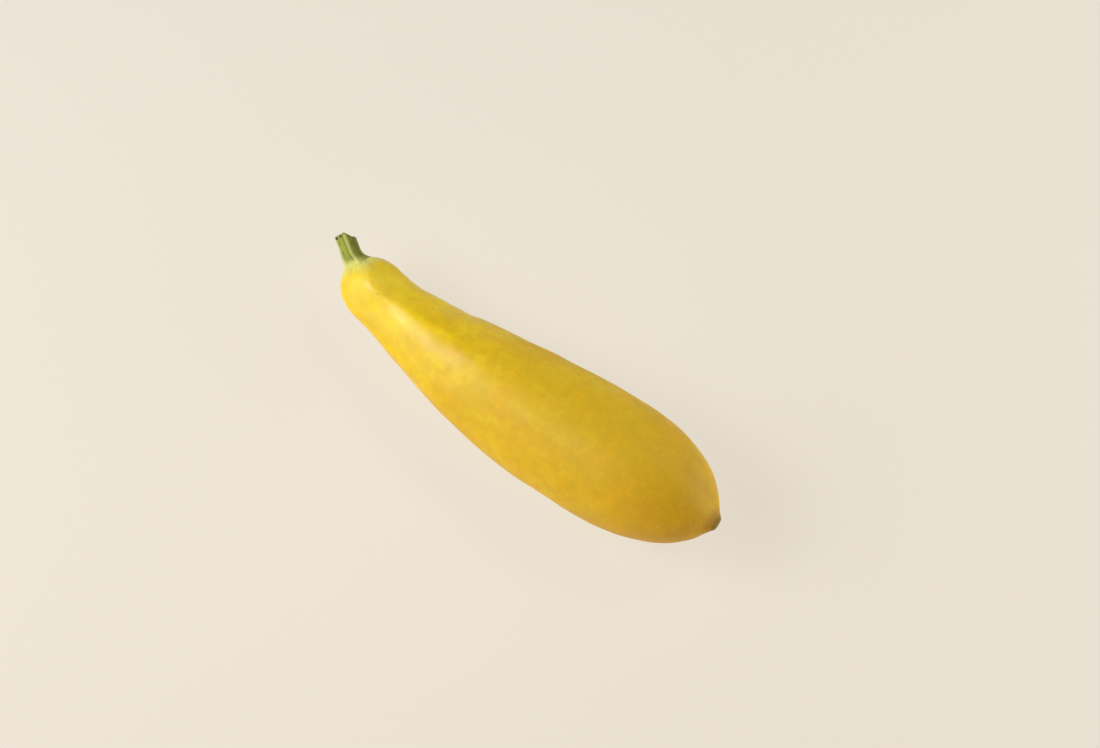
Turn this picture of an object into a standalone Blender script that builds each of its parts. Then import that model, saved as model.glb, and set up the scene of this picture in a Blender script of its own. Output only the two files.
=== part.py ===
"""A yellow straightneck summer squash with its cut stem, lying on its belly.

Metres, +Z up. +X runs from the stem to the blossom end, and the floor is Z = 0. The origin is
on the floor, under the middle of the box round the fruit and its stem. There are two pieces:
the fruit, which grew as one body, and the stem that it hung from on the plant.
"""

import math

import bmesh
import bpy
from mathutils import Matrix, Vector

# The fruit, along its own axis from the stem's seat (0) to the blossom scar.
FRUIT_LENGTH = 0.1817
SHOULDER_AT = 0.0143  # where the round end under the stem is widest
SHOULDER_RADIUS = 0.0129
NECK_AT = 0.0205  # the slimmest place
NECK_RADIUS = 0.0128
BELLY_AT = 0.1253  # the widest place
BELLY_RADIUS = 0.0262

# How full each stretch of the outline is.
SHOULDER_SQUARENESS = 2.8
SWELL_START = 1.34
SWELL_END = 2.5
BLOSSOM_FULLNESS = 2.55
BLOSSOM_POINT = 1.7

# Five soft ribs run down from the stem and fade towards the blossom end.
RIBS = 5
NECK_RIB = 0.00045
BELLY_RIB = 0.00018
RIB_TURN = math.radians(20)
RIB_FADE = 4  # the power at which the ribs sink into the round end under the stem

# The scar that the flower left: a low button with a dished face.
SCAR_RADIUS = 0.0031
SCAR_FOOT_RADIUS = 0.0052
SCAR_HEIGHT = 0.0012
SCAR_EDGE = 0.0003
SCAR_DISH = 0.0005

# The bend: how far the neck is swept sideways (+Y) and lifted off the belly's straight axis.
SIDE_SWEEP = 0.0095
NECK_LIFT = 0.0095
BEND_LENGTH = 0.1157  # from the seat to where the axis is straight
BEND_POWER = 2.7

# The crook: how much further the last stretch turns aside and up, to face the stem's seat.
CROOK_SIDE = 0.0035
CROOK_LIFT = 0.0040
CROOK_LENGTH = 0.019
CROOK_POWER = 2

# How it lies: the blossom end a little high, on a shallow flat under the belly.
REST_TILT = math.radians(5)
FLAT_DEPTH = 0.0006

# The stem: a five-sided stalk with a star-shaped foot, cut across at a slant.
STEM_LENGTH = 0.0112
STEM_RADIUS = 0.0036
RIDGE_DEPTH = 0.0007
FOOT_REACH = 0.0066  # the foot's points
FOOT_VALLEY = 0.0048  # between the points
FOOT_SHARPNESS = 1.5
FOOT_HEIGHT = 0.0060
FOOT_FLARE = 3  # the power at which the stalk spreads into its foot
FOOT_EDGE = 0.0006
CUT_DISH = 0.0005
CUT_SLANT = math.radians(16)  # the cut is lower on its +Y side
STEM_LEAN = math.radians(12)  # downwards, away from square to its seat

JOINT_GAP = 0.0003  # between the stem's foot and the seat

# Colours and angles of the surface.
RIND_YELLOW = (0.84, 0.52, 0.03)
RIND_ROUGHNESS = 0.4
STEM_GREEN = (0.24, 0.30, 0.06)
STEM_ROUGHNESS = 0.6
SHARP_ANGLE = math.radians(50)

# Mesh steps.
FRUIT_SEGMENTS = 50
SHOULDER_RINGS = 9
SWELL_RINGS = 20
BLOSSOM_RINGS = 9
SCAR_RINGS = 2
STEM_SEGMENTS_PER_RIDGE = 8
FOOT_RINGS = 4
STEM_RINGS = 8
CUT_RINGS = 2
RING_CROWDING = 1.5  # how much closer the stem's rings stand near its foot


def between(first, last, share):
    return first + (last - first) * share


def eased(share):
    """Goes from 0 to 1 with no slope at either end."""
    return share * share * (3 - 2 * share)


def shoulder_drop(radius):
    """How far the round end under the stem falls away from its top at this radius."""
    inside = 1 - (radius / SHOULDER_RADIUS) ** SHOULDER_SQUARENESS
    return SHOULDER_AT * (1 - math.sqrt(max(inside, 0.0)))


def body_radius(along):
    """The radius from the shoulder, past the neck, to the belly."""
    if along < NECK_AT:
        waist = eased((along - SHOULDER_AT) / (NECK_AT - SHOULDER_AT))
        return between(SHOULDER_RADIUS, NECK_RADIUS, waist)
    share = min((along - NECK_AT) / (BELLY_AT - NECK_AT), 1.0)
    swell = 1 - (1 - share**SWELL_START) ** SWELL_END
    return between(NECK_RADIUS, BELLY_RADIUS, swell)


def blossom_reach(radius):
    """How far past the belly the round blossom end reaches at this radius."""
    inside = 1 - (radius / BELLY_RADIUS) ** BLOSSOM_POINT
    round_length = FRUIT_LENGTH - SCAR_HEIGHT - BELLY_AT
    return round_length * max(inside, 0.0) ** (1 / BLOSSOM_FULLNESS)


def fruit_stations():
    """The place along the axis, the radius and the rib height of each ring, from the seat on."""
    stations = []
    for step in range(1, SHOULDER_RINGS + 1):
        radius = SHOULDER_RADIUS * math.sin(0.5 * math.pi * step / SHOULDER_RINGS)
        rib = NECK_RIB * (radius / SHOULDER_RADIUS) ** RIB_FADE
        stations.append((shoulder_drop(radius), radius, rib))
    for step in range(1, SWELL_RINGS + 1):
        share = step / SWELL_RINGS
        along = between(SHOULDER_AT, BELLY_AT, share)
        stations.append((along, body_radius(along), between(NECK_RIB, BELLY_RIB, share)))
    for step in range(1, BLOSSOM_RINGS + 1):
        narrowing = math.cos(0.5 * math.pi * step / BLOSSOM_RINGS)
        radius = between(SCAR_FOOT_RADIUS, BELLY_RADIUS, narrowing)
        stations.append((BELLY_AT + blossom_reach(radius), radius, BELLY_RIB * radius / BELLY_RADIUS))
    stations.append((FRUIT_LENGTH - SCAR_EDGE, SCAR_RADIUS + SCAR_EDGE, 0))
    for step in range(SCAR_RINGS, 0, -1):
        share = step / SCAR_RINGS
        stations.append((FRUIT_LENGTH - SCAR_DISH * (1 - share**2), SCAR_RADIUS * share, 0))
    return stations


def axis_frame(along):
    """A matrix at this place on the fruit's bent axis: its X runs along the axis."""
    bend = max(1 - along / BEND_LENGTH, 0.0)
    crook = max(1 - along / CROOK_LENGTH, 0.0)
    bend_slope = -BEND_POWER / BEND_LENGTH * bend ** (BEND_POWER - 1)
    crook_slope = -CROOK_POWER / CROOK_LENGTH * crook ** (CROOK_POWER - 1)
    aside = SIDE_SWEEP * bend**BEND_POWER + CROOK_SIDE * crook**CROOK_POWER
    lifted = NECK_LIFT * bend**BEND_POWER + CROOK_LIFT * crook**CROOK_POWER
    aside_slope = SIDE_SWEEP * bend_slope + CROOK_SIDE * crook_slope
    lifted_slope = NECK_LIFT * bend_slope + CROOK_LIFT * crook_slope
    forward = Vector((1, aside_slope, lifted_slope)).normalized()
    side = Vector((0, 0, 1)).cross(forward).normalized()
    frame = Matrix((forward, side, forward.cross(side))).transposed().to_4x4()
    frame.translation = Vector((along, aside, lifted))
    return frame


def fruit_ring(along, radius, rib):
    """One ring of the fruit, square to its axis."""
    frame = axis_frame(along)
    points = []
    for index in range(FRUIT_SEGMENTS):
        angle = 2 * math.pi * index / FRUIT_SEGMENTS
        reach = radius + rib * math.cos(RIBS * (angle - RIB_TURN))
        points.append(frame @ Vector((0, reach * math.cos(angle), reach * math.sin(angle))))
    return points


def closed_loft(name, first_point, rings, last_point, material):
    """A closed skin bridged over rings of points, with a point at each end."""
    shape = bmesh.new()
    loops = []
    for ring in rings:
        corners = [shape.verts.new(point) for point in ring]
        pairs = zip(corners, corners[1:] + corners[:1])
        loops.append([shape.edges.new(pair) for pair in pairs])
    for loop, next_loop in zip(loops, loops[1:]):
        bmesh.ops.bridge_loops(shape, edges=loop + next_loop)
    for loop, point in ((loops[0], first_point), (loops[-1], last_point)):
        end = bmesh.ops.contextual_create(shape, geom=loop)["faces"]
        middle = bmesh.ops.poke(shape, faces=end)["verts"][0]
        middle.co = point
    bmesh.ops.recalc_face_normals(shape, faces=shape.faces)
    mesh = bpy.data.meshes.new(name)
    shape.to_mesh(mesh)
    shape.free()
    mesh.materials.append(material)
    piece = bpy.data.objects.new(name, mesh)
    bpy.context.scene.collection.objects.link(piece)
    return piece


def plain_material(name, colour, roughness):
    material = bpy.data.materials.new(name)
    material.use_nodes = True
    shader = material.node_tree.nodes["Principled BSDF"]
    shader.inputs["Base Color"].default_value = (*colour, 1)
    shader.inputs["Roughness"].default_value = roughness
    shader.inputs["Metallic"].default_value = 0
    return material


def build_fruit():
    """The whole fruit on its own axis, not yet laid down."""
    rings = [fruit_ring(*station) for station in fruit_stations()]
    seat_top = axis_frame(0).translation
    scar_middle = axis_frame(FRUIT_LENGTH - SCAR_DISH).translation
    rind = plain_material("yellow_rind", RIND_YELLOW, RIND_ROUGHNESS)
    return closed_loft("fruit", seat_top, rings, scar_middle, rind)


def stem_radii(height):
    """The stem's radius at each angle: a ridged stalk that spreads into a star at its foot."""
    spread = max(1 - height / FOOT_HEIGHT, 0.0) ** FOOT_FLARE
    radii = []
    for index in range(RIBS * STEM_SEGMENTS_PER_RIDGE):
        ridge = 0.5 + 0.5 * math.cos(2 * math.pi * index / STEM_SEGMENTS_PER_RIDGE)
        stalk = STEM_RADIUS + RIDGE_DEPTH * (ridge - 0.5)
        foot = between(FOOT_VALLEY, FOOT_REACH, ridge**FOOT_SHARPNESS)
        radii.append(between(stalk, foot, spread))
    return radii


def stem_ring(height, radii, seated):
    """One ring of the stem: `seated` is 1 where it follows the fruit's round end, 0 where flat."""
    share = height / STEM_LENGTH
    turned = share * STEM_LEAN
    slant = share**2 * math.tan(CUT_SLANT)
    lean = Matrix.Rotation(-turned, 4, "Y")
    middle = Vector((-height - JOINT_GAP, 0, -0.5 * height * math.tan(turned)))
    points = []
    for index, radius in enumerate(radii):
        angle = RIB_TURN + 2 * math.pi * index / len(radii)
        aside = radius * math.cos(angle)
        spoke = lean @ Vector((slant * aside, aside, radius * math.sin(angle)))
        settled = Vector((seated * shoulder_drop(radius), 0, 0))
        points.append(axis_frame(0) @ (middle + spoke + settled))
    return points


def build_stem():
    """The stalk on the fruit's seat, with its underside following the fruit's round end."""
    rings = []
    foot = stem_radii(0)
    for step in range(1, FOOT_RINGS + 1):
        rings.append(stem_ring(0, [radius * step / FOOT_RINGS for radius in foot], 1))
    for step in range(STEM_RINGS + 1):
        share = step / STEM_RINGS
        height = between(FOOT_EDGE, STEM_LENGTH, share**RING_CROWDING)
        rings.append(stem_ring(height, stem_radii(height), 1 - share))
    cut = stem_radii(STEM_LENGTH)
    for step in range(CUT_RINGS - 1, 0, -1):
        share = step / CUT_RINGS
        height = STEM_LENGTH - CUT_DISH * (1 - share**2)
        rings.append(stem_ring(height, [radius * share for radius in cut], 0))
    underside = stem_ring(0, [0], 1)[0]
    cut_middle = stem_ring(STEM_LENGTH - CUT_DISH, [0], 0)[0]
    green = plain_material("green_stem", STEM_GREEN, STEM_ROUGHNESS)
    return closed_loft("stem", underside, rings, cut_middle, green)


def cut_flat(piece, height):
    """Cuts away what is below this height and closes the piece with one flat face."""
    shape = bmesh.new()
    shape.from_mesh(piece.data)
    whole = shape.verts[:] + shape.edges[:] + shape.faces[:]
    cut = bmesh.ops.bisect_plane(
        shape, geom=whole, plane_co=(0, 0, height), plane_no=(0, 0, 1), clear_inner=True
    )
    rim = [item for item in cut["geom_cut"] if isinstance(item, bmesh.types.BMEdge)]
    bmesh.ops.contextual_create(shape, geom=rim)
    bmesh.ops.recalc_face_normals(shape, faces=shape.faces)
    shape.to_mesh(piece.data)
    shape.free()


def lay_down(fruit, stem):
    """Tilts the squash to how it lies, cuts the belly's flat and sets it down on that."""
    for piece in (fruit, stem):
        piece.data.transform(Matrix.Rotation(-REST_TILT, 4, "Y"))
    floor = min(vertex.co.z for vertex in fruit.data.vertices) + FLAT_DEPTH
    cut_flat(fruit, floor)
    points = [vertex.co for piece in (fruit, stem) for vertex in piece.data.vertices]
    middle_x = 0.5 * (min(point.x for point in points) + max(point.x for point in points))
    middle_y = 0.5 * (min(point.y for point in points) + max(point.y for point in points))
    for piece in (fruit, stem):
        piece.data.transform(Matrix.Translation((-middle_x, -middle_y, -floor)))
        piece.data.shade_smooth()
        piece.data.set_sharp_from_angle(angle=SHARP_ANGLE)


def main():
    for old in list(bpy.data.objects):
        bpy.data.objects.remove(old)
    lay_down(build_fruit(), build_stem())


main()
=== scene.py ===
import math

import bpy
import numpy as np
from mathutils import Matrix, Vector, noise
from mathutils.bvhtree import BVHTree


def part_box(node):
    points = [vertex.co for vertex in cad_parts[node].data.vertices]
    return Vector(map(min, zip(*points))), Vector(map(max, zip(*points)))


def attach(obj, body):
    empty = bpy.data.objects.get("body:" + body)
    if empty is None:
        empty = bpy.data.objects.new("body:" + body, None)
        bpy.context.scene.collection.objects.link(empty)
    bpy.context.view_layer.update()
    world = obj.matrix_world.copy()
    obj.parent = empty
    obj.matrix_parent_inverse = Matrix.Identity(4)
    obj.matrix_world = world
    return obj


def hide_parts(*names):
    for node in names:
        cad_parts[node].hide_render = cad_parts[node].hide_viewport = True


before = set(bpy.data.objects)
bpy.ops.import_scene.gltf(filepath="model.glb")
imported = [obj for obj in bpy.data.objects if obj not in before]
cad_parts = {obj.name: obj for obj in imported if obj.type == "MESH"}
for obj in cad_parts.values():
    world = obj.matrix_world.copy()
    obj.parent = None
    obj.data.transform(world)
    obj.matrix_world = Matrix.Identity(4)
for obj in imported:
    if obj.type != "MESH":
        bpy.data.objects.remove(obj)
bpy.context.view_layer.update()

# ---------------------------------------------------------------------------------------------
# The fruit's outline. It grew as one body round an axis that bends in the neck and ends under the
# stem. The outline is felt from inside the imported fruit, ring by ring, along that axis: the round
# end under the stem, the neck and the belly, and the blossom end.
# ---------------------------------------------------------------------------------------------
FEELERS = 60  # rays in a ring
WALK_STEP = 0.0015  # between the places where the axis is felt
HEADING_EASE = 0.2  # how much of each step's heading the walk takes over
CENTRING_ROUNDS = 4
CENTRING_STEP = 0.5
BELLY_SHARE = 0.7  # the walk starts at this share of the fruit's length
END_SHARE = 0.97  # the axis ends where the skin ahead is this many radii away
AXIS_SMOOTHING = 0.0045
BELL_REACH = 3  # how many widths of the bell are used
SEAT_TURN = 0.036  # over this length the rings turn to face the stem's seat
SEAT_GAP = 0.0004  # the stem's underside is nearer to the fruit than this
OUTLINE_STEP = 0.0005
OUTLINE_SMOOTHING = 0.0018
ROUND_WAVES = 6  # waves round a ring that are kept of its shape

fruit_low, fruit_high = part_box("fruit")


def wall_of(node):
    """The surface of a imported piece, to feel with rays."""
    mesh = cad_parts[node].data
    corners = [vertex.co for vertex in mesh.vertices]
    return BVHTree.FromPolygons(corners, [tuple(face.vertices) for face in mesh.polygons])


fruit_wall = wall_of("fruit")


def across(forward):
    """The two directions square to `forward`: sideways and up."""
    side = Vector((0, 0, 1)).cross(forward).normalized()
    return side, forward.cross(side)


def feel_ring(wall, middle, forward, swing=0.0):
    """Rays from `middle` to the wall, all round, swung towards `forward`: their lengths."""
    side, up = across(forward)
    lengths = []
    for index in range(FEELERS):
        angle = 2 * math.pi * index / FEELERS
        outward = side * math.cos(angle) + up * math.sin(angle)
        ray = outward * math.cos(swing) + forward * math.sin(swing)
        lengths.append(wall.ray_cast(middle, ray)[3])
    return np.array(lengths)


def centred(wall, middle, forward):
    """Moves `middle` to the middle of the wall's section there."""
    side, up = across(forward)
    angles = 2 * math.pi * np.arange(FEELERS) / FEELERS
    for _ in range(CENTRING_ROUNDS):
        lengths = feel_ring(wall, middle, forward)
        sideways = 2 * float(np.mean(lengths * np.cos(angles)))
        upward = 2 * float(np.mean(lengths * np.sin(angles)))
        middle = middle + CENTRING_STEP * (side * sideways + up * upward)
    return middle


def walk_axis(wall, start, forward):
    """Walks from `start` towards one end, keeping to the middle of the section."""
    stations = [start]
    while True:
        radius = float(np.mean(feel_ring(wall, stations[-1], forward)))
        if wall.ray_cast(stations[-1], forward)[3] < END_SHARE * radius:
            return stations
        following = centred(wall, stations[-1] + forward * WALK_STEP, forward)
        heading = (following - stations[-1]).normalized()
        forward = ((1 - HEADING_EASE) * forward + HEADING_EASE * heading).normalized()
        stations.append(following)


def eased(share):
    """A share from 0 to 1 that starts and ends gently."""
    return share * share * (3 - 2 * share)


def smoothed(values, width):
    """Evenly spaced values, averaged with a bell `width` steps wide; the ends stay in place."""
    reach = int(BELL_REACH * width) + 1
    weights = np.exp(-0.5 * (np.arange(-reach, reach + 1) / width) ** 2)
    weights /= weights.sum()
    rows = np.atleast_2d(np.asarray(values, float).T)
    averaged = []
    for row in rows:
        before = 2 * row[0] - row[reach:0:-1]
        after = 2 * row[-1] - row[-2 : -reach - 2 : -1]
        averaged.append(np.convolve(np.concatenate((before, row, after)), weights, "valid"))
    return np.array(averaged).T.squeeze()


def seat_middle():
    """The middle of the stem's underside, where it sits on the fruit."""
    middle = np.zeros(3)
    area = 0.0
    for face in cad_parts["stem"].data.polygons:
        nearest, outward, _, distance = fruit_wall.find_nearest(face.center)
        if distance < SEAT_GAP and face.normal.dot(outward) < 0:
            middle += np.array(face.center) * face.area
            area += face.area
    return Vector(middle / area)


to_blossom = Vector((1, 0, 0))
belly_x = (1 - BELLY_SHARE) * fruit_low.x + BELLY_SHARE * fruit_high.x
belly = centred(fruit_wall, Vector((belly_x, 0, 0.5 * fruit_high.z)), to_blossom)
towards_stem = walk_axis(fruit_wall, belly, -to_blossom)
towards_blossom = walk_axis(fruit_wall, belly, to_blossom)
walked = [tuple(point) for point in towards_stem[:0:-1] + towards_blossom]
walked = smoothed(walked, AXIS_SMOOTHING / WALK_STEP)
walked_at = np.concatenate(([0], np.cumsum(np.linalg.norm(np.diff(walked, axis=0), axis=1))))
AXIS_LENGTH = float(walked_at[-1])
axis_at = np.arange(0, AXIS_LENGTH, OUTLINE_STEP)
axis_points = np.stack([np.interp(axis_at, walked_at, walked[:, k]) for k in range(3)], axis=1)
axis_points = smoothed(axis_points, AXIS_SMOOTHING / OUTLINE_STEP)
axis_ways = np.gradient(axis_points, axis=0)
axis_ways /= np.linalg.norm(axis_ways, axis=1)[:, None]

seat = seat_middle()
seat_turn = eased(np.clip(1 - axis_at / SEAT_TURN, 0, 1))[:, None]
from_seat_way = axis_points[0] - np.array(seat)
from_seat_way /= np.linalg.norm(from_seat_way)
axis_ways = (1 - seat_turn) * axis_ways + seat_turn * from_seat_way
axis_ways /= np.linalg.norm(axis_ways, axis=1)[:, None]

# The outline runs from the seat's pole (0) over the round end, down the axis and over the
# blossom end. In the two ends the rays swing from one place; in between they are square.
stem_pivot, stem_way = Vector(axis_points[0]), Vector(axis_ways[0])
blossom_pivot, blossom_way = Vector(axis_points[-1]), Vector(axis_ways[-1])
STEM_END_RADIUS = float(np.mean(feel_ring(fruit_wall, stem_pivot, stem_way)))
BLOSSOM_END_RADIUS = float(np.mean(feel_ring(fruit_wall, blossom_pivot, blossom_way)))
STEM_END_ARC = 0.5 * math.pi * STEM_END_RADIUS
BLOSSOM_END_ARC = 0.5 * math.pi * BLOSSOM_END_RADIUS
OUTLINE_LENGTH = STEM_END_ARC + AXIS_LENGTH + BLOSSOM_END_ARC


def swing_at(outline):
    """How far the rays lean back towards the stem (below 0) or on to the blossom (above 0)."""
    back = np.minimum(outline - STEM_END_ARC, 0) / STEM_END_RADIUS
    on = np.maximum(outline - STEM_END_ARC - AXIS_LENGTH, 0) / BLOSSOM_END_RADIUS
    return back + on


def axis_place(outline):
    """The axis point and its forward, side and up directions for places on the outline."""
    at = np.clip(outline - STEM_END_ARC, 0, axis_at[-1])
    points = np.stack([np.interp(at, axis_at, axis_points[:, k]) for k in range(3)], axis=-1)
    ways = np.stack([np.interp(at, axis_at, axis_ways[:, k]) for k in range(3)], axis=-1)
    ways /= np.linalg.norm(ways, axis=-1, keepdims=True)
    sides = np.cross(np.array([0.0, 0.0, 1.0]), ways)
    sides /= np.linalg.norm(sides, axis=-1, keepdims=True)
    return points, ways, sides, np.cross(ways, sides)


felt_at = np.arange(0, OUTLINE_LENGTH, OUTLINE_STEP)
felt_points, felt_ways, _, _ = axis_place(felt_at)
felt = np.array(
    [
        feel_ring(fruit_wall, Vector(point), Vector(way), float(swing))
        for point, way, swing in zip(felt_points, felt_ways, swing_at(felt_at))
    ]
)
felt_waves = np.fft.rfft(felt, axis=1)[:, : ROUND_WAVES + 1] / FEELERS
felt_waves[:, 1:] *= 2
felt_cosines = smoothed(felt_waves.real, OUTLINE_SMOOTHING / OUTLINE_STEP)
felt_sines = smoothed(-felt_waves.imag, OUTLINE_SMOOTHING / OUTLINE_STEP)


def felt_radius(outline, angle):
    """How far the fruit's wall is from its axis, at places on the outline and angles round it."""
    radius = np.interp(outline, felt_at, felt_cosines[:, 0])
    for wave in range(1, ROUND_WAVES + 1):
        radius = radius + np.interp(outline, felt_at, felt_cosines[:, wave]) * np.cos(wave * angle)
        radius = radius + np.interp(outline, felt_at, felt_sines[:, wave]) * np.sin(wave * angle)
    return radius


# ---------------------------------------------------------------------------------------------
# The rind: golden yellow, thin and waxy, over the flesh. Five soft ribs come down the neck from
# the stem, with lumps between them. The skin gathers in pleats under the stem's foot, and at the
# blossom end it closes on a corky button, the scar of the flower.
# ---------------------------------------------------------------------------------------------
RIBS = 5
RIND_ROUND = 320  # points in a ring
RIND_RINGS = 270
END_CROWDING = 0.75  # how much closer the rings stand near both ends

LUMP_SIZE = 0.011
LUMP_STRETCH = 1.8
LUMP_HEIGHT = 0.00040
KNOB_SIZE = 0.0045
KNOB_HEIGHT = 0.00014

EDGE_HEIGHT = 0.00090
EDGE_WIDTH = 0.30  # in radians
EDGE_ROUND = 0.045
EDGE_WANDER = 0.045
EDGE_WAVE = 0.0042
EDGE_QUICKER = 2.7  # a second, quicker wander
EDGE_SMALLER = 0.6
EDGE_TURN = 0.07  # the edges lie this far off the ribs' middles
EDGE_FROM = 0.026  # from the seat's pole
EDGE_TO = 0.066
EDGE_FADE = 0.024

PLEAT_FROM = 0.0075  # from the seat's pole
PLEAT_TO = 0.0090
PLEAT_SOFTNESS = 0.0060
PLEAT_DEPTH = 0.00035
PLEAT_SHARPNESS = 3
FINE_PLEATS = 17
FINE_PLEAT_DEPTH = 0.00005

BUTTON_RADIUS = 0.0034
BUTTON_HEIGHT = 0.0006
BUTTON_LIP = 0.00018
LIP_FROM = 0.6  # of the button's radius
LIP_TO = 0.8
LIP_SOFTNESS = 0.0006
BUTTON_SOFTNESS = 0.0013
BUTTON_UNEVEN = 0.07  # of its radius, in step with the ribs
BUTTON_LOBES = 3  # and in these broader lobes
BUTTON_LOBE_SHARE = 0.7
BUTTON_LOBE_TURN = 1.0  # in radians

FLOOR_SOFTNESS = 0.00015
NECK_FELT = 0.03  # the ribs' places are felt over this much of the neck

neck_rows = (felt_at > STEM_END_ARC) & (felt_at < STEM_END_ARC + NECK_FELT)
neck_cosine = float(np.mean(felt_cosines[neck_rows, RIBS]))
neck_sine = float(np.mean(felt_sines[neck_rows, RIBS]))
RIB_TURN = (math.atan2(neck_sine, neck_cosine) / RIBS) % (2 * math.pi / RIBS)


def window(values, first, last, softness):
    """1 between `first` and `last`, easing to 0 over `softness` outside them."""
    rise = np.clip((values - first) / softness + 1, 0, 1)
    fall = np.clip((last - values) / softness + 1, 0, 1)
    return eased(np.minimum(rise, fall))


def lumps(places, size):
    """Soft random swelling, from -1 to 1, at an array of places."""
    flat = (places / size).reshape(-1, 3)
    made = [noise.noise(Vector(place), noise_basis="PERLIN_ORIGINAL") for place in flat]
    return np.array(made).reshape(places.shape[:-1])


def grown_place(outline, angle, radius):
    """A place on the rind as if the axis were straight, for patterns that follow the growth."""
    reach = radius * np.cos(swing_at(outline))
    return np.stack([outline, reach * np.cos(angle), reach * np.sin(angle)], axis=-1)


def from_rib(angle):
    """How far an angle is from the middle of the nearest rib, in radians."""
    period = 2 * math.pi / RIBS
    return (angle - RIB_TURN + 0.5 * period) % period - 0.5 * period


def rib_edges(outline, angle):
    """The ribs' crests on the neck, drawn up to soft edges that wander a little."""
    along = outline / EDGE_WAVE
    wander = EDGE_WANDER * (np.sin(along) + EDGE_SMALLER * np.sin(EDGE_QUICKER * along))
    off = from_rib(angle + wander + EDGE_TURN)
    from_valley = math.pi / RIBS - np.sqrt(off**2 + EDGE_ROUND**2)
    highest = math.cosh(math.pi / RIBS / EDGE_WIDTH) - 1
    drawn_up = (np.cosh(from_valley / EDGE_WIDTH) - 1) / highest
    return EDGE_HEIGHT * drawn_up * window(outline, EDGE_FROM, EDGE_TO, EDGE_FADE)


def rind_at(outline, angle):
    """Points of the rind at places on the outline and angles round it."""
    points, ways, sides, ups = axis_place(outline)
    swing = swing_at(outline)
    radius = felt_radius(outline, angle)
    grown = grown_place(outline, angle, radius)
    stretched = grown / np.array([LUMP_STRETCH, 1, 1])
    swelling = LUMP_HEIGHT * lumps(stretched, LUMP_SIZE) + KNOB_HEIGHT * lumps(stretched, KNOB_SIZE)
    valley = (0.5 - 0.5 * np.cos(RIBS * (angle - RIB_TURN))) ** PLEAT_SHARPNESS
    gathered = window(outline, PLEAT_FROM, PLEAT_TO, PLEAT_SOFTNESS)
    pleats = gathered * (PLEAT_DEPTH * valley + FINE_PLEAT_DEPTH * np.cos(FINE_PLEATS * angle))
    lobes = BUTTON_LOBE_SHARE * np.cos(BUTTON_LOBES * angle + BUTTON_LOBE_TURN)
    uneven = 1 + BUTTON_UNEVEN * (np.cos(RIBS * (angle - RIB_TURN)) + lobes)
    from_scar = (OUTLINE_LENGTH - outline) * uneven
    flat_to = BUTTON_RADIUS - BUTTON_SOFTNESS
    button = BUTTON_HEIGHT * window(from_scar, -OUTLINE_LENGTH, flat_to, 2 * BUTTON_SOFTNESS)
    lip_edges = (LIP_FROM * BUTTON_RADIUS, LIP_TO * BUTTON_RADIUS)
    lip = BUTTON_LIP * window(from_scar, *lip_edges, LIP_SOFTNESS)
    radius = radius + swelling - pleats + button + lip + rib_edges(outline, angle)
    outward = sides * np.cos(angle)[..., None] + ups * np.sin(angle)[..., None]
    rays = outward * np.cos(swing)[..., None] + ways * np.sin(swing)[..., None]
    placed = points + rays * radius[..., None]
    height = placed[..., 2]
    placed[..., 2] = 0.5 * (height + np.sqrt(height**2 + FLOOR_SOFTNESS**2))
    return placed


def rows_to_mesh(name, rows, first_point, last_point):
    """A closed skin over rows of points, each row a ring, with a point at each end."""
    ring = rows.shape[1]
    count = rows.shape[0] * ring
    corners = np.concatenate((rows.reshape(-1, 3), [first_point], [last_point]))
    lower = np.arange(count - ring).reshape(-1, ring)
    after = np.roll(lower, -1, axis=1)
    quads = np.stack((lower, after, after + ring, lower + ring), axis=-1).reshape(-1, 4)
    start = np.arange(ring)
    first_fan = np.stack((np.roll(start, -1), start, np.full(ring, count)), axis=1)
    end = start + count - ring
    last_fan = np.stack((end, np.roll(end, -1), np.full(ring, count + 1)), axis=1)
    mesh = bpy.data.meshes.new(name)
    faces = [tuple(face) for group in (quads, first_fan, last_fan) for face in group.tolist()]
    mesh.from_pydata(corners.tolist(), [], faces)
    mesh.shade_smooth()
    return mesh


def set_number(mesh, name, values):
    """Gives every point of the mesh a number that its material can read."""
    attribute = mesh.attributes.new(name, "FLOAT", "POINT")
    attribute.data.foreach_set("value", np.asarray(values, np.float32).ravel())


def set_place(mesh, name, values):
    """Gives every point of the mesh a place that its material can read."""
    attribute = mesh.attributes.new(name, "FLOAT_VECTOR", "POINT")
    attribute.data.foreach_set("vector", np.asarray(values, np.float32).ravel())


row_share = (np.arange(RIND_RINGS) + 0.5) / RIND_RINGS
row_share = row_share - END_CROWDING * np.sin(2 * math.pi * row_share) / (2 * math.pi)
rind_outline = (row_share * OUTLINE_LENGTH)[:, None] * np.ones((1, RIND_ROUND))
rind_angle = (2 * math.pi * np.arange(RIND_ROUND) / RIND_ROUND)[None, :] * np.ones((RIND_RINGS, 1))
rind_rows = rind_at(rind_outline, rind_angle)
seat_pole = rind_at(np.array([0.0]), np.array([0.0]))[0]
blossom_pole = rind_at(np.array([OUTLINE_LENGTH]), np.array([0.0]))[0]
rind_mesh = rows_to_mesh("rind", rind_rows, seat_pole, blossom_pole)
rind_radius = np.interp(rind_outline, felt_at, felt_cosines[:, 0])
rind_grown = grown_place(rind_outline, rind_angle, rind_radius).reshape(-1, 3)
end_places = [(0, 0, 0), (OUTLINE_LENGTH, 0, 0)]
set_place(rind_mesh, "grown", np.concatenate((rind_grown, end_places)))
flat_outline = np.concatenate((rind_outline.ravel(), [0, OUTLINE_LENGTH]))
flat_angle = np.concatenate((rind_angle.ravel(), [0, 0]))
rib_crest = 0.5 + 0.5 * np.cos(RIBS * (flat_angle - RIB_TURN))
set_number(rind_mesh, "rib_crest", rib_crest)
set_number(rind_mesh, "from_seat", flat_outline)
set_number(rind_mesh, "from_scar", OUTLINE_LENGTH - flat_outline)

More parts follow.
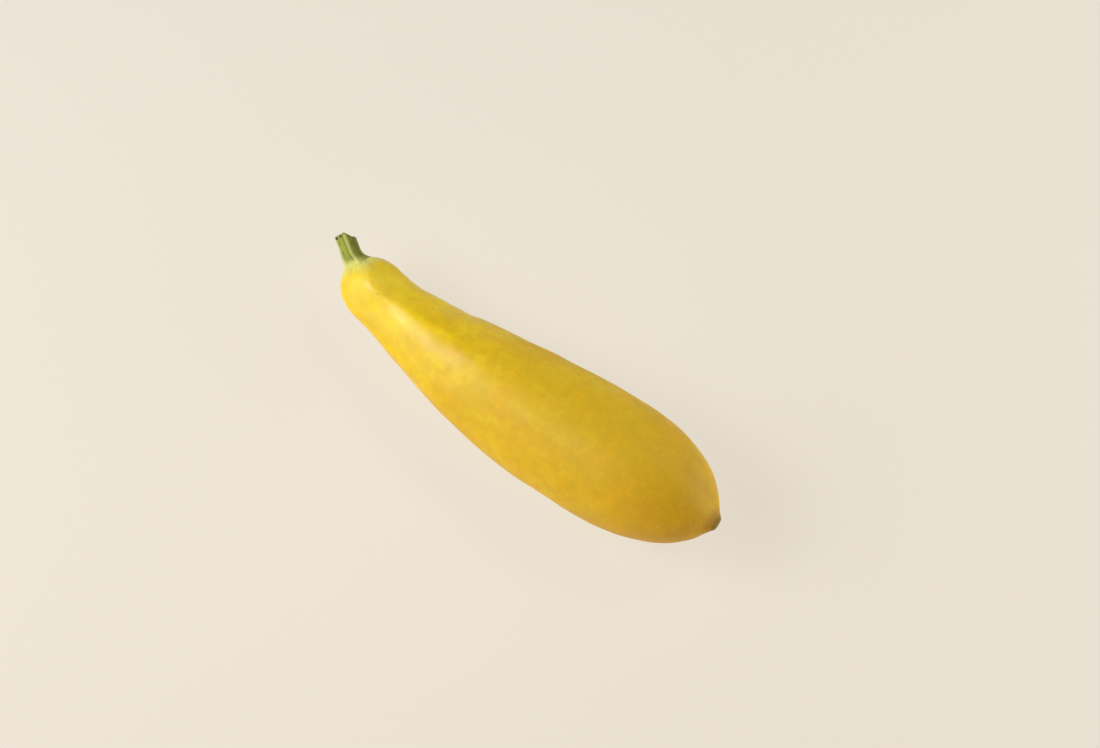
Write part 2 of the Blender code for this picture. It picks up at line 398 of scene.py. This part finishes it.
rind = bpy.data.objects.new("rind", rind_mesh)
bpy.context.scene.collection.objects.link(rind)
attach(rind, "root")
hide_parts("fruit")


class Recipe:
    """A material's nodes, added one by one from left to right."""

    def __init__(self, name):
        self.material = bpy.data.materials.new(name)
        self.material.use_nodes = True
        self.tree = self.material.node_tree
        self.shader = self.tree.nodes["Principled BSDF"]

    def add(self, kind, settings=None, **inputs):
        node = self.tree.nodes.new(kind)
        for name, value in (settings or {}).items():
            setattr(node, name, value)
        for name, value in inputs.items():
            self.feed(node, name.replace("_", " "), value)
        return node

    def feed(self, node, name, value):
        socket = node.inputs[int(name)] if name.isdigit() else node.inputs[name]
        if isinstance(value, bpy.types.NodeSocket):
            self.tree.links.new(value, socket)
        else:
            socket.default_value = value

    def finish(self, **sockets):
        """Sets the shader's own sockets, a word of each name joined by _."""
        for name, value in sockets.items():
            self.feed(self.shader, name.replace("_", " "), value)

    def number(self, name):
        return self.add("ShaderNodeAttribute", {"attribute_name": name}).outputs["Fac"]

    def place(self, name):
        return self.add("ShaderNodeAttribute", {"attribute_name": name}).outputs["Vector"]

    def stretched(self, place, scale):
        return self.add("ShaderNodeMapping", Vector=place, Scale=scale).outputs["Vector"]

    def cloud(self, place, fineness, detail, roughness=0.5):
        settings = {"Scale": fineness, "Detail": detail, "Roughness": roughness}
        return self.add("ShaderNodeTexNoise", Vector=place, **settings).outputs["Fac"]

    def ramp(self, value, low, high, start=0.0, end=1.0):
        """Runs gently from `start` to `end` while the value goes from `low` to `high`."""
        made = self.add("ShaderNodeMapRange", {"interpolation_type": "SMOOTHSTEP", "clamp": True})
        self.feed(made, "Value", value)
        self.feed(made, "From Min", low)
        self.feed(made, "From Max", high)
        self.feed(made, "To Min", start)
        self.feed(made, "To Max", end)
        return made.outputs["Result"]

    def math(self, operation, first, second):
        made = self.add("ShaderNodeMath", {"operation": operation})
        self.feed(made, "0", first)
        self.feed(made, "1", second)
        return made.outputs["Value"]

    def patches(self, place, fineness, detail, low, high, strength, roughness=0.5):
        """Soft-edged patches: a cloud's share between `low` and `high`, up to `strength`."""
        return self.ramp(self.cloud(place, fineness, detail, roughness), low, high, 0, strength)

    def blend(self, amount, first, second):
        """The first colour, and as much of the second over it as the amount says."""
        made = self.add("ShaderNodeMix", {"data_type": "RGBA"})
        self.feed(made, "0", amount)
        self.feed(made, "6", (*first, 1) if isinstance(first, tuple) else first)
        self.feed(made, "7", (*second, 1) if isinstance(second, tuple) else second)
        return made.outputs[2]

    def relief(self, place, fineness, detail, depth, strength, normal=None):
        """Small bumps and pits of a cloud, over those of `normal`."""
        height = self.cloud(place, fineness, detail)
        made = self.add("ShaderNodeBump", Height=height, Distance=depth, Strength=strength)
        if normal is not None:
            self.feed(made, "Normal", normal)
        return made.outputs["Normal"]


# The palest lemon round the stem is partly the rind's own tone and partly painted highlight, made paler as
# the neck's highlight is.
PALE_LEMON_AND_PAINTED_HIGHLIGHT = (0.92, 0.71, 0.045)
LEMON = (0.87, 0.645, 0.020)
GOLD = (0.715, 0.505, 0.013)
# The amber of the blossom end is partly the rind's own deeper tone and partly painted shade, darker where
# the tip turns from the light.
AMBER_AND_PAINTED_SHADE = (0.60, 0.325, 0.016)
OLIVE_GOLD = (0.62, 0.395, 0.010)
DEEP_GOLD = (0.76, 0.44, 0.008)
PALE_GOLD = (0.86, 0.66, 0.030)
CAP_GREEN = (0.74, 0.70, 0.17)
SCAR_BROWN = (0.33, 0.17, 0.012)
SCAR_OLIVE = (0.20, 0.15, 0.008)
BLEMISH = (0.36, 0.22, 0.012)

CAP_END = 0.016  # from the seat's pole
SHOULDER_END = 0.050
GLOSS_END = 0.058
NECK_END = 0.095
BLOSSOM_PAINTED_SHADE = 0.080  # from the scar: the amber and painted shade of the tip start here
BLOSSOM_PAINTED_SHADE_FULL = 0.008
STREAKS = (0.35, 1.0, 1.0)  # patches are this much longer along the axis
NECK_PATCHES = 0.35  # how strong the patches are at the cap
# Patches: how fine, how detailed, from and to where in the cloud, how strong, how rough
BROAD_PATCHES = (95, 2, 0.34, 0.66, 0.75)
WARM_PATCHES = (85, 2, 0.44, 0.70, 0.60)
MOTTLE = (190, 3, 0.36, 0.66, 0.62)
FRECKLES = (480, 3, 0.46, 0.74, 0.20, 0.6)
SPECKS = (420, 1, 0.765, 0.80, 0.55)
CAP_REACH_VALLEY = 0.0115  # how far the green cap reaches between the ribs
CAP_REACH_RIB = 0.0150  # and along a rib
CAP_FADE = (0.45, 1.05)  # of its reach
CAP_STRENGTH = 0.95
SCAR_RAGGED = 0.0030  # how uneven the scar's edge is
SCAR_CLOUD = (420, 4)
HALO = (0.0045, 0.0115, 0.60)  # full to here, gone from here, how strong
SCAR = (0.0043, 0.0062, 0.80)

WAX_CLOUD = (240, 3)
WAX_ROUGHNESS = (0.3, 0.7, 0.27, 0.37)  # from and to in the cloud, and the roughness there
BELLY_DULLNESS = 0.24  # the belly is this much rougher than the neck
PORES = (1500, 2, 0.00003, 0.5)  # how fine, how detailed, how deep, how strong
DIMPLES = (280, 3, 0.00016, 0.35)

skin = Recipe("yellow_rind")
grown = skin.place("grown")
from_seat = skin.number("from_seat")
from_scar = skin.number("from_scar")
crest = skin.number("rib_crest")
streaky = skin.stretched(grown, STREAKS)
# Round the stem: the rind's lemon tone with painted highlight in it, easing to plain lemon down the
# shoulder.
colour = skin.blend(skin.ramp(from_seat, CAP_END, SHOULDER_END), PALE_LEMON_AND_PAINTED_HIGHLIGHT, LEMON)
colour = skin.blend(skin.ramp(from_seat, SHOULDER_END, NECK_END), colour, GOLD)
# Towards the blossom end: the rind's deeper amber tone, with painted shade of the tip in it.
colour = skin.blend(skin.ramp(from_scar, BLOSSOM_PAINTED_SHADE, BLOSSOM_PAINTED_SHADE_FULL), colour, AMBER_AND_PAINTED_SHADE)
spread = skin.ramp(from_seat, CAP_END, NECK_END, NECK_PATCHES, 1.0)
for place, patches, tint in (
    (streaky, BROAD_PATCHES, OLIVE_GOLD),
    (grown, WARM_PATCHES, DEEP_GOLD),
    (grown, MOTTLE, OLIVE_GOLD),
):
    amount = skin.math("MULTIPLY", skin.patches(place, *patches), spread)
    colour = skin.blend(amount, colour, tint)
colour = skin.blend(skin.patches(grown, *FRECKLES), colour, PALE_GOLD)
colour = skin.blend(skin.patches(grown, *SPECKS), colour, BLEMISH)
cap_reach = skin.ramp(crest, 0, 1, CAP_REACH_VALLEY, CAP_REACH_RIB)
cap = skin.ramp(skin.math("DIVIDE", from_seat, cap_reach), *CAP_FADE, CAP_STRENGTH, 0)
colour = skin.blend(cap, colour, CAP_GREEN)
ragged = skin.math("MULTIPLY", skin.cloud(grown, *SCAR_CLOUD), SCAR_RAGGED)
scar_edge = skin.math("ADD", from_scar, ragged)
for (full_to, gone_from, strength), tint in ((HALO, SCAR_BROWN), (SCAR, SCAR_OLIVE)):
    colour = skin.blend(skin.ramp(scar_edge, full_to, gone_from, strength, 0), colour, tint)
dullness = skin.ramp(from_seat, GLOSS_END, NECK_END, 0.0, BELLY_DULLNESS)
wax = skin.ramp(skin.cloud(grown, *WAX_CLOUD), *WAX_ROUGHNESS)
skin.finish(
    Base_Color=colour,
    Roughness=skin.math("ADD", dullness, wax),
    Specular_IOR_Level=0.27,
    Subsurface_Weight=0.22,
    Subsurface_Radius=(1.0, 0.5, 0.06),
    Subsurface_Scale=0.003,
    Normal=skin.relief(grown, *DIMPLES, skin.relief(grown, *PORES)),
)
rind_mesh.materials.append(skin.material)

# ---------------------------------------------------------------------------------------------
# The stem: a stalk of tough green fibre with five pale ridges and a furrow along each side of a
# ridge. Its foot spreads over the fruit's round end in points and grows into the skin there. It
# was cut through with a knife, a little slanted, and the cut has dried.
# ---------------------------------------------------------------------------------------------
STEM_ROUND = 360  # points in a ring
FOOT_RINGS = 46
STALK_RINGS = 70
CUT_RINGS = 30

TOE_REACH = 0.0078  # from the seat's pole, along the skin
TOE_VALLEY = 0.0053
TOE_SHARPNESS = 2.2
SMALL_TOE = 0.0011  # the points between two ridges
SMALL_TOE_WIDTH = 0.16  # in radians
TOE_WANDER = 0.0006
TOE_WANDER_SIZE = 0.7
TOE_SINK = 0.00022  # the foot's edge lies this far under the skin
FLARE_HUG = 0.00055  # how far the flare stands off the skin before it turns up
FLARE_TURN = 1.04  # where it turns up, in stalk radii from the pole
FLARE_TOP = 0.0052  # up the stalk
ROOT_DEPTH = 0.4  # the foot's underside closes at this share of the way to the pivot
FLARE_EASE = 0.45  # the flare runs straight with the stalk from this share of its height
BUTTRESS_WAY = math.radians(187)  # the foot is fullest on this side
BUTTRESS_WIDTH = 0.55
BUTTRESS_TURN = 0.22
BUTTRESS_PROUD = 0.0011
BUTTRESS_REACH = 0.0022
BUTTRESS_SWELL = 0.0013  # how far the stalk swells on this side, at its foot
BUTTRESS_TOP = 0.60  # the swell ends at this share of the height

RIDGE_WIDTH = 0.15  # half a ridge, in radians
RIDGE_PROUD = 0.00058
FACET_HOLLOW = 0.00030  # how far the faces between the ridges are drawn in
FURROW_AT = 0.31  # from a ridge's middle, in radians
FURROW_WIDTH = 0.085
FURROW_DEPTH = 0.00030
FAR_FURROW = 0.4  # the furrow on a ridge's other side, against the first
FIBRES = 90
FIBRE_DEPTH = 0.000035
FIBRE_SWAY = 3
WAVER_HEIGHT = 0.00022
WAVER_LENGTH = 0.0042
WAVER_STRETCH = 0.4

FOOT_SHIFT = 0.0009  # the stalk's foot stands this far off the seat's middle
FOOT_SHIFT_WAY = 191  # degrees round the stem
CUT_SLANT = math.radians(32)
CUT_LOW_SIDE = 300  # degrees round the stem
RIM_ROUND = 0.00045
CUT_CROWDING = 0.85
CUT_HOLLOW = 0.00050
HOLLOW_TO = 0.9  # of the way to the rim
HOLLOW_CURVE = 0.8
CUT_LIP = 0.00012
LIP_AT = 0.86
LIP_WIDTH = 0.08
BUNDLES = 10  # bundles of fibre that end in the cut
BUNDLE_AT = 0.66  # of the way to the rim
BUNDLE_SIZE = 0.10
BUNDLE_WIDTH = 0.22
BUNDLE_PROUD = 0.00010
DRIED_SPOTS = ((121, 0.965), (153, 0.955), (236, 0.97), (330, 0.96))  # degrees round, and height
DRIED_WIDTH = 0.00037
CUT_SHORT = 0.0008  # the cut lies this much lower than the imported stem's end
WORN_WAY = math.radians(22)  # the cut's edge is worn down on this side
WORN_WIDTH = 0.62
WORN_DEPTH = 0.0013
PAINTED_SHADE_WAY = math.radians(30)  # the side with painted shade, darker as if it were turned from the light
PAINTED_SHADE_WIDTH = 0.50

STALK_FELT_AT = (0.45, 0.80)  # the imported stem's middle is felt at these shares of its height
END_FROM = 0.7  # its end faces lie above this share of its height
END_FACING = 0.8  # and face up the stem at least this much

packed_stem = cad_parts["stem"].data
stem_wall = wall_of("stem")
stem_up = -np.array(stem_way)
stem_points = np.array([tuple(vertex.co) for vertex in packed_stem.vertices])
stem_height = float(((stem_points - seat_pole) @ stem_up).max())
end_faces = [
    face
    for face in packed_stem.polygons
    if (np.array(face.center) - seat_pole) @ stem_up > END_FROM * stem_height
    and np.array(face.normal) @ stem_up > END_FACING
]
end_sum = sum((np.array(face.center) * face.area for face in end_faces), np.zeros(3))
cut_middle = end_sum / sum(face.area for face in end_faces) - CUT_SHORT * stem_up

stem_side, stem_top = (np.array(way) for way in across(stem_way))
stalk_places = []
for share in STALK_FELT_AT:
    guess = Vector((1 - share) * seat_pole + share * cut_middle)
    stalk_places.append(np.array(centred(stem_wall, guess, stem_way)))
STALK_RADIUS = float(feel_ring(stem_wall, Vector(stalk_places[1]), stem_way).mean())
stalk_lean = stalk_places[1] - stalk_places[0]
stalk_lean /= np.linalg.norm(stalk_lean)
stalk_foot = cut_middle - stalk_lean * ((cut_middle - seat_pole) @ stem_up) / (stalk_lean @ stem_up)


def round_stem(angle):
    """The direction across the stem at an angle round it."""
    return np.cos(angle)[..., None] * stem_side + np.sin(angle)[..., None] * stem_top


stalk_foot = stalk_foot + FOOT_SHIFT * round_stem(np.radians(FOOT_SHIFT_WAY))
low_side = round_stem(np.radians(CUT_LOW_SIDE))
cut_normal = math.cos(CUT_SLANT) * stalk_lean + math.sin(CUT_SLANT) * low_side
cut_normal /= np.linalg.norm(cut_normal)


def stem_axis(share):
    """Points up the stalk's middle, from the seat (0) to the cut (1)."""
    share = np.asarray(share)[..., None]
    return (1 - share) * stalk_foot + share * cut_middle


def bell(values, width):
    return np.exp(-0.5 * (values / width) ** 2)


def turned_from(way, angle):
    """How far an angle is from `way`, in radians, the short way round."""
    return (angle - way + math.pi) % (2 * math.pi) - math.pi


def stalk_radius(angle, share):
    """The stalk's radius: ridges, the hollow faces between them, furrows and fibres."""
    off = from_rib(angle)
    ridge = RIDGE_PROUD * bell(off, RIDGE_WIDTH)
    hollow = FACET_HOLLOW * np.sin(0.5 * RIBS * off) ** 2
    near = bell(off - FURROW_AT, FURROW_WIDTH)
    far = bell(off + FURROW_AT, FURROW_WIDTH)
    furrow = FURROW_DEPTH * (near + FAR_FURROW * far)
    fibre = FIBRE_DEPTH * np.cos(FIBRES * angle + FIBRE_SWAY * np.sin(RIBS * angle))
    up = share * stem_height * WAVER_STRETCH
    places = np.stack([up, STALK_RADIUS * np.cos(angle), STALK_RADIUS * np.sin(angle)], -1)
    waver = WAVER_HEIGHT * lumps(places, WAVER_LENGTH)
    swell = BUTTRESS_SWELL * bell(turned_from(BUTTRESS_WAY, angle), BUTTRESS_WIDTH)
    swell = swell * np.clip(1 - share / BUTTRESS_TOP, 0, 1)
    return STALK_RADIUS + ridge - hollow - furrow + fibre + waver + swell


def foot_reach(angle):
    """How far the foot's edge is from the seat's pole, along the skin."""
    off = from_rib(angle)
    crest = np.cos(0.5 * RIBS * off) ** 2
    reach = TOE_VALLEY + (TOE_REACH - TOE_VALLEY) * crest**TOE_SHARPNESS
    between = math.pi / RIBS - np.abs(off)
    places = np.stack([np.cos(angle), np.sin(angle), 0 * angle], -1)
    buttress = bell(turned_from(BUTTRESS_WAY, angle), BUTTRESS_WIDTH)
    reach = reach + SMALL_TOE * bell(between, SMALL_TOE_WIDTH) + BUTTRESS_REACH * buttress
    return reach + TOE_WANDER * lumps(places, TOE_WANDER_SIZE)


def stalk_at(share, angle):
    """Points of the stalk's side; at share 1 they lie in the slanted cut."""
    spoke = stalk_radius(angle, share)[..., None] * round_stem(angle)
    worn = WORN_DEPTH * bell(turned_from(WORN_WAY, angle), WORN_WIDTH)
    lift = -(spoke @ cut_normal) / (stalk_lean @ cut_normal) - worn
    return stem_axis(share) + spoke + (share**2 * lift)[..., None] * stalk_lean


stem_angle = 2 * math.pi * np.arange(STEM_ROUND) / STEM_ROUND
flare_share = FLARE_TOP / stem_height
foot_edge = rind_at(foot_reach(stem_angle), stem_angle)
foot_out = foot_edge - np.array(stem_pivot)
foot_edge = foot_edge - TOE_SINK * foot_out / np.linalg.norm(foot_out, axis=1)[:, None]
buttress = bell(turned_from(BUTTRESS_WAY, stem_angle), BUTTRESS_WIDTH)
turn_radius = (FLARE_TURN + BUTTRESS_TURN * buttress) * stalk_radius(stem_angle, 0 * stem_angle)
turn_height = FLARE_HUG + BUTTRESS_PROUD * buttress
foot_turn = rind_at(turn_radius, stem_angle) + turn_height[:, None] * stem_up
flare_top = stalk_at(flare_share + 0 * stem_angle, stem_angle)
flare_neck = stalk_at(FLARE_EASE * flare_share + 0 * stem_angle, stem_angle)
flare = (np.arange(FOOT_RINGS) / FOOT_RINGS)[:, None, None]
foot_rows = (
    (1 - flare) ** 3 * foot_edge
    + 3 * flare * (1 - flare) ** 2 * foot_turn
    + 3 * flare**2 * (1 - flare) * flare_neck
    + flare**3 * flare_top
)

rim_share = RIM_ROUND / stem_height
stalk_share = np.linspace(flare_share, 1 - rim_share, STALK_RINGS)[:, None] * np.ones((1, STEM_ROUND))
stalk_rows = stalk_at(stalk_share, np.broadcast_to(stem_angle, stalk_share.shape))

inward = np.linspace(0, 1, CUT_RINGS, endpoint=False)[:, None]
rim = stalk_at(1 + 0 * stem_angle, stem_angle)[None]
in_share = 1 - inward**CUT_CROWDING
round_off = RIM_ROUND / STALK_RADIUS
over_edge = np.clip((in_share - 1 + round_off) / round_off, 0, 1)
edge_drop = RIM_ROUND * (1 - np.sqrt(1 - over_edge**2))
bundle_angle = (stem_angle[None, :] * BUNDLES / (2 * math.pi)) % 1 - 0.5
bundle = bell(in_share - BUNDLE_AT, BUNDLE_SIZE) * bell(bundle_angle, BUNDLE_WIDTH)
hollow = CUT_HOLLOW * np.clip(1 - in_share / HOLLOW_TO, 0, 1) ** HOLLOW_CURVE
lip = CUT_LIP * bell(in_share - LIP_AT, LIP_WIDTH)
cut_height = -edge_drop - hollow + lip + BUNDLE_PROUD * bundle
cut_rows = cut_middle + (rim - cut_middle) * in_share[..., None] + cut_height[..., None] * cut_normal
cut_rows = cut_rows[1:]

stem_rows = np.concatenate((foot_rows, stalk_rows, cut_rows))
under_seat = seat_pole + ROOT_DEPTH * (np.array(stem_pivot) - seat_pole)
cut_floor = cut_middle - CUT_HOLLOW * cut_normal
stem_mesh = rows_to_mesh("stem_skin", stem_rows, under_seat, cut_floor)
stem_mesh.flip_normals()  # its rows run up the stem, against the rind's

foot_share = np.arange(FOOT_RINGS) / FOOT_RINGS
side_rings = FOOT_RINGS + STALK_RINGS
end_rings = CUT_RINGS - 1
row_height = np.concatenate(
    (flare_share * foot_share, np.linspace(flare_share, 1, STALK_RINGS), np.ones(end_rings))
)
row_foot = np.concatenate((1 - foot_share, np.zeros(STALK_RINGS + end_rings)))
row_cut = np.concatenate((np.zeros(side_rings), np.ones(end_rings)))
row_reach = STALK_RADIUS * np.concatenate((np.ones(side_rings), in_share[1:, 0]))
every_row = np.ones(len(row_height))
all_round = np.ones(STEM_ROUND)

dried = np.zeros((len(row_height), STEM_ROUND))
for degrees, level in DRIED_SPOTS:
    sideways = bell(turned_from(math.radians(degrees), stem_angle) * STALK_RADIUS, DRIED_WIDTH)
    upward = bell((row_height - level) * stem_height, DRIED_WIDTH)
    dried = np.maximum(dried, upward[:, None] * sideways)
dried[side_rings:] *= bell(1 - in_share[1:], DRIED_WIDTH / STALK_RADIUS)
bundle_ends = np.zeros((len(row_height), STEM_ROUND))
bundle_ends[side_rings:] = bundle[1:]

for name, values in (
    ("height", np.outer(row_height, all_round)),
    ("foot", np.outer(row_foot, all_round)),
    ("cut", np.outer(row_cut, all_round)),
    ("ridge", np.outer(every_row, bell(from_rib(stem_angle), RIDGE_WIDTH))),
    ("furrow", np.outer(every_row, bell(from_rib(stem_angle) - FURROW_AT, FURROW_WIDTH))),
    # painted shade: a mask for the side of the stalk that is painted darker
    ("painted_shade", np.outer(every_row, bell(turned_from(PAINTED_SHADE_WAY, stem_angle), PAINTED_SHADE_WIDTH))),
    ("dried", dried),
    ("bundle", bundle_ends),
):
    set_number(stem_mesh, name, np.concatenate((values.ravel(), [values[0, 0], values[-1, -1]])))
fibre_place = np.stack(
    (
        np.outer(row_height * stem_height, all_round),
        np.outer(row_reach, np.cos(stem_angle)),
        np.outer(row_reach, np.sin(stem_angle)),
    ),
    axis=-1,
).reshape(-1, 3)
set_place(stem_mesh, "grown", np.concatenate((fibre_place, [(0, 0, 0), (stem_height, 0, 0)])))

stem_skin = bpy.data.objects.new("stem_skin", stem_mesh)
bpy.context.scene.collection.objects.link(stem_skin)
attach(stem_skin, "root")
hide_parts("stem")

LEAF_GREEN = (0.31, 0.355, 0.030)
LIGHT_GREEN = (0.36, 0.41, 0.055)
DARK_GREEN = (0.13, 0.15, 0.02)
PAINTED_SHADE_GREEN = (0.16, 0.15, 0.02)
RIDGE_PALE = (0.50, 0.53, 0.17)
FOOT_PALE = (0.72, 0.69, 0.19)
CUT_FLESH = (0.60, 0.58, 0.30)
CUT_DRY = (0.42, 0.38, 0.16)
BUNDLE_BROWN = (0.28, 0.23, 0.07)
DRIED_BROWN = (0.034, 0.028, 0.010)

FIBRE_STRETCH = (0.12, 1.0, 1.0)  # patches are this much longer up the stem
LIGHT_FIBRES = (900, 3, 0.35, 0.70, 1.0)
DARK_PATCHES = (260, 2, 0.50, 0.75, 0.5)
DRY_PATCHES = (1100, 3, 0.40, 0.65, 1.0)
FURROW_PAINTED_SHADE = 0.42
RIDGE_FADE = (0.35, 0.95, 0, 0.85)  # from and to on the ridge, and the strength there
RIDGE_LEAD = 0.12  # the pale foot runs this much further up a ridge
FOOT_FADE = (0.35, 0.85, 0, 0.9)
RIM_DARK = (0.955, 0.995, 0, 0.6)
PAINTED_SHADE_STRENGTH = 0.72
DRIED_CLOUD = (1800, 3)
DRIED_RAGGED = 0.35
DRIED_FADE = (0.22, 0.42)
BARK_CLOUD = (700, 3)
BARK_ROUGHNESS = (0.3, 0.7, 0.45, 0.62)
STRANDS = (2600, 3, 0.00006, 0.7)
GRAIN = (900, 3, 0.00006, 0.4)

bark = Recipe("green_stem")
along = bark.place("grown")
fibrous = bark.stretched(along, FIBRE_STRETCH)
ridge = bark.number("ridge")
colour = bark.blend(bark.patches(fibrous, *LIGHT_FIBRES), LEAF_GREEN, LIGHT_GREEN)
colour = bark.blend(bark.patches(along, *DARK_PATCHES), colour, DARK_GREEN)
# Painted shade in the furrows: darker green where the grooves would lie in shade.
colour = bark.blend(bark.math("MULTIPLY", bark.number("furrow"), FURROW_PAINTED_SHADE), colour, DARK_GREEN)
colour = bark.blend(bark.ramp(ridge, *RIDGE_FADE), colour, RIDGE_PALE)
foot_and_ridge = bark.math("ADD", bark.number("foot"), bark.math("MULTIPLY", ridge, RIDGE_LEAD))
colour = bark.blend(bark.ramp(foot_and_ridge, *FOOT_FADE), colour, FOOT_PALE)
# Painted shade: one side of the stalk is darker green, as if it lay in shade.
painted_shade = bark.math("MULTIPLY", bark.number("painted_shade"), PAINTED_SHADE_STRENGTH)
colour = bark.blend(painted_shade, colour, PAINTED_SHADE_GREEN)
colour = bark.blend(bark.ramp(bark.number("height"), *RIM_DARK), colour, DARK_GREEN)
flesh = bark.blend(bark.patches(along, *DRY_PATCHES), CUT_FLESH, CUT_DRY)
flesh = bark.blend(bark.number("bundle"), flesh, BUNDLE_BROWN)
colour = bark.blend(bark.number("cut"), colour, flesh)
ragged = bark.math("MULTIPLY", bark.cloud(along, *DRIED_CLOUD), DRIED_RAGGED)
dried_edge = bark.math("SUBTRACT", bark.number("dried"), ragged)
colour = bark.blend(bark.ramp(dried_edge, *DRIED_FADE), colour, DRIED_BROWN)
bark.finish(
    Base_Color=colour,
    Roughness=bark.ramp(bark.cloud(along, *BARK_CLOUD), *BARK_ROUGHNESS),
    Specular_IOR_Level=0.3,
    Subsurface_Weight=0.12,
    Subsurface_Radius=(0.6, 0.8, 0.2),
    Subsurface_Scale=0.0012,
    Normal=bark.relief(along, *GRAIN, bark.relief(fibrous, *STRANDS)),
)
stem_mesh.materials.append(bark.material)

# ---------------------------------------------------------------------------------------------
# The studio: cream paper that glows a little, a camera that looks down on the squash, and soft
# boxes round it. The key stands to the left. The others and one soft spot fill in the rest.
# ---------------------------------------------------------------------------------------------
PAPER_HALF = 6.0
PAPER_GLOW = 0.678
PAPER_CREAM = (0.17, 0.158, 0.140, 1)
GLOW_CREAM = (1.0, 0.925, 0.795, 1)

CAMERA_AIM = Vector((0.0032, 0.0226, 0.0077))
CAMERA_AZIMUTH = math.radians(33.76)
CAMERA_ELEVATION = math.radians(70)
CAMERA_DISTANCE = 1.061
CAMERA_LENS = 85
CAMERA_SENSOR = 36

paper_corners = [(-1, -1), (1, -1), (1, 1), (-1, 1)]
floor_mesh = bpy.data.meshes.new("floor")
floor_mesh.from_pydata([(PAPER_HALF * x, PAPER_HALF * y, 0) for x, y in paper_corners], [], [(0, 1, 2, 3)])
floor = bpy.data.objects.new("floor", floor_mesh)
bpy.context.scene.collection.objects.link(floor)
paper = Recipe("cream_paper")
paper.finish(
    Base_Color=PAPER_CREAM,
    Roughness=0.9,
    Specular_IOR_Level=0.1,
    Emission_Color=GLOW_CREAM,
    Emission_Strength=PAPER_GLOW,
)
floor_mesh.materials.append(paper.material)

towards_camera = Vector(
    (
        math.sin(CAMERA_AZIMUTH) * math.cos(CAMERA_ELEVATION),
        -math.cos(CAMERA_AZIMUTH) * math.cos(CAMERA_ELEVATION),
        math.sin(CAMERA_ELEVATION),
    )
)
rightward = Vector((math.cos(CAMERA_AZIMUTH), math.sin(CAMERA_AZIMUTH), 0))
upward = towards_camera.cross(rightward)
camera_data = bpy.data.cameras.new("camera")
camera_data.lens = CAMERA_LENS
camera_data.sensor_width = CAMERA_SENSOR
camera = bpy.data.objects.new("camera", camera_data)
camera.location = CAMERA_AIM + towards_camera * CAMERA_DISTANCE
camera.rotation_euler = towards_camera.to_track_quat("Z", "Y").to_euler()
bpy.context.scene.collection.objects.link(camera)
bpy.context.scene.camera = camera


def hang_light(data, way, distance, aim, watts, colour):
    """Hangs a light: `way` is rightward, upward and towards the camera, from the camera's aim."""
    direction = (way[0] * rightward + way[1] * upward + way[2] * towards_camera).normalized()
    data.energy = watts
    data.color = colour
    light = bpy.data.objects.new(data.name, data)
    light.location = CAMERA_AIM + direction * distance
    light.rotation_euler = (light.location - aim).to_track_quat("Z", "Y").to_euler()
    bpy.context.scene.collection.objects.link(light)


WHITE = (1.0, 1.0, 1.0)
CREAM_WHITE = (1.0, 0.97, 0.9)
PALE_STRAW = (1.0, 0.9, 0.75)
ORANGE = (1.0, 0.45, 0.15)
fruit_middle = Vector((0, 0, 0.02))
neck_end = Vector((fruit_low.x, 0, 0.03))
blossom_end = Vector((fruit_high.x, 0, 0.02))
# Soft boxes: how wide, which way, how far, aimed at, watts, colour
SOFT_BOXES = {
    "key": (1.4, (-0.8, 0.1, 0.55), 1.4, fruit_middle, 14.5, WHITE),
    "neck_light": (0.20, (-0.72, 0.22, 0.72), 0.6, neck_end, 1.38, WHITE),
    "end_light": (0.6, (0.95, -0.1, 0.1), 0.6, blossom_end, 3.7, CREAM_WHITE),
    "back_light": (0.5, (0.6, 0.65, 0.5), 0.6, blossom_end, 0.60, PALE_STRAW),
    "warm_card": (0.6, (-0.3, -0.8, 0.4), 0.8, fruit_middle, 1.7, ORANGE),
}
for name, (width, *hung) in SOFT_BOXES.items():
    box_data = bpy.data.lights.new(name, "AREA")
    box_data.size = width
    hang_light(box_data, *hung)

SPOT_CONE = math.radians(18)
SPOT_RADIUS = 0.08
SPOT_AIM = Vector((-0.006, 0.0, 0.03))
spot_data = bpy.data.lights.new("middle_spot", "SPOT")
spot_data.spot_size = SPOT_CONE
spot_data.spot_blend = 1.0
spot_data.shadow_soft_size = SPOT_RADIUS
hang_light(spot_data, (0.42, 0.62, 0.66), 0.60, SPOT_AIM, 5.3, PALE_STRAW)

studio = bpy.data.worlds.new("studio")
studio.use_nodes = True
studio.node_tree.nodes["Background"].inputs["Strength"].default_value = 0.0
bpy.context.scene.world = studio
bpy.context.scene.view_settings.view_transform = "Standard"
